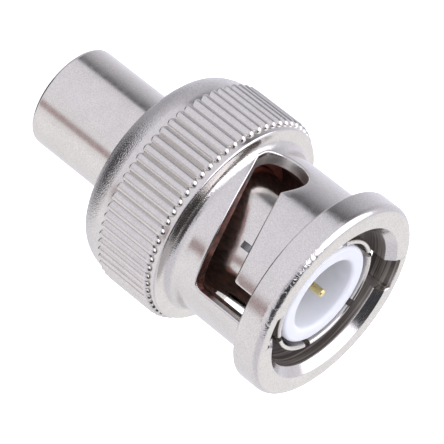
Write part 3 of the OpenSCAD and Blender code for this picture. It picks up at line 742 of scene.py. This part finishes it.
world = bpy.data.worlds.new("studio")
bpy.context.scene.world = world
world.use_nodes = True
tree = world.node_tree
tree.nodes.clear()
camera_turn = np.radians(39.5)
place = add(tree, "ShaderNodeTexCoord").outputs["Generated"]
facing = add(tree, "ShaderNodeMapping", {"Vector": place, "Rotation": (0, 0, camera_turn)}).outputs["Vector"]
axes = add(tree, "ShaderNodeSeparateXYZ", {"Vector": facing})
near, aside, lift = (axes.outputs[key] for key in "XYZ")
bearing = add(tree, "ShaderNodeMath", {0: aside, 1: near}, operation="ARCTAN2").outputs["Value"]
dome = add(tree, "ShaderNodeValToRGB", {"Fac": levels(tree, bearing, 0.0, 1.0, -np.pi, np.pi)})
# Brightness of the walls by the angle from the camera's side, in faintly blue light that is whiter at the left
daylight, left_blue = np.array([1.0, 1.0, 1.14]), 1.08
walls = [(-180, 0.95), (-146, 0.94), (-128, 0.83), (-112, 0.68), (-96, 0.48), (-84, 0.26), (-76, 0.14),
         (-72, 0.17), (-67, 0.87), (-48, 0.95), (0, 0.98), (56, 0.98), (62, 1.0), (80, 1.09), (112, 1.03),
         (144, 0.95), (172, 0.85)]
ramp = dome.color_ramp.elements
while len(ramp) < len(walls):
    ramp.new(0.5)
for element, (wall_angle, value) in zip(ramp, walls):
    element.position = (wall_angle + 180) / 360
    element.color = (value, value, value * np.interp(wall_angle, [30, 60], [daylight[2], left_blue]), 1)


def sideways(start, end):
    """A smooth step over the bearing from the camera's side, in degrees."""
    return fade(tree, bearing, *np.radians([start, end]))


def cone(turn, tilt, core, limit):
    """1 within a cone of half angle core round a direction, falling to 0 at the limit; all in degrees."""
    turn, tilt, core, limit = np.radians([turn, tilt, core, limit])
    way = (np.cos(tilt) * np.cos(turn), np.cos(tilt) * np.sin(turn), np.sin(tilt))
    toward = add(tree, "ShaderNodeVectorMath", {0: facing, 1: way}, operation="DOT_PRODUCT")
    return fade(tree, toward.outputs["Value"], np.cos(limit), np.cos(core))


wooden_edge = times(tree, sideways(38, 48), sideways(61, 54), fade(tree, lift, -0.62, -0.5),
                    fade(tree, lift, -0.2, -0.3))
flag_foot = times(tree, fade(tree, lift, -0.49, -0.55), sideways(-62, -72), sideways(-135, -115))
under_camera = times(tree, fade(tree, near, -0.25, 0.05), fade(tree, lift, -0.67, -0.79),
                     fade(tree, aside, -0.2, 0.05))
ceiling, table = fade(tree, lift, 0.1, 0.4), fade(tree, lift, -0.68, -0.84)
back_wall, camera_body, lamp = cone(180, 27, 20, 32), cone(20, 30, 4, 12), cone(-38, 34, 6, 12)
near_card, far_card, soft_box = cone(45, 69, 25, 29), cone(150, 72, 15, 20), cone(-80, 51, 33, 37)
seen = add(tree, "ShaderNodeLightPath").outputs["Is Camera Ray"]
view = dome.outputs["Color"]
for factor, shade in ((wooden_edge, (0.49, 0.385, 0.36)), (flag_foot, 0.68), (ceiling, 0.85), (table, 0.5),
                      (under_camera, 0.05), (back_wall, (1.08, 1.08, 1.0)), (camera_body, 0.35),
                      (near_card, 0.06), (far_card, 0.06), (soft_box, 2.2), (lamp, 1.5), (seen, 1.0)):
    view = mixed(tree, factor, view, tuple(np.asarray(shade) * daylight))
glow = add(tree, "ShaderNodeBackground", {"Color": view, "Strength": 1.0})
tree.links.new(glow.outputs["Background"], add(tree, "ShaderNodeOutputWorld").inputs["Surface"])

fill = bpy.data.lights.new("fill", "SUN")
fill.energy, fill.angle, fill.color = 0.62, 0.6, (0.88, 0.88, 1.0)
fill_lamp = bpy.data.objects.new("fill", fill)
bpy.context.scene.collection.objects.link(fill_lamp)
fill_lamp.matrix_world = Matrix.LocRotScale(None, Vector((0.45, -0.35, 0.8)).to_track_quat("Z", "Y"), None)
fill_lamp.visible_glossy = False

lens = bpy.data.cameras.new("camera")
lens.sensor_width, lens.lens = 36.0, 273.235
lens.clip_start, lens.clip_end = 0.01, 10.0
camera = bpy.data.objects.new("camera", lens)
bpy.context.scene.collection.objects.link(camera)
camera_place = (0.142119, -0.116685, 0.099087)
right = (-0.650392, -0.267847, 0.710808)
up = (-0.296556, -0.771969, -0.562244)
back = (0.699318, -0.576473, 0.422651)
camera_axes = Matrix((right, up, back)).transposed()
camera.matrix_world = Matrix.LocRotScale(camera_place, camera_axes.to_quaternion(), None)
bpy.context.scene.camera = camera
bpy.context.scene.view_settings.view_transform = "Standard"
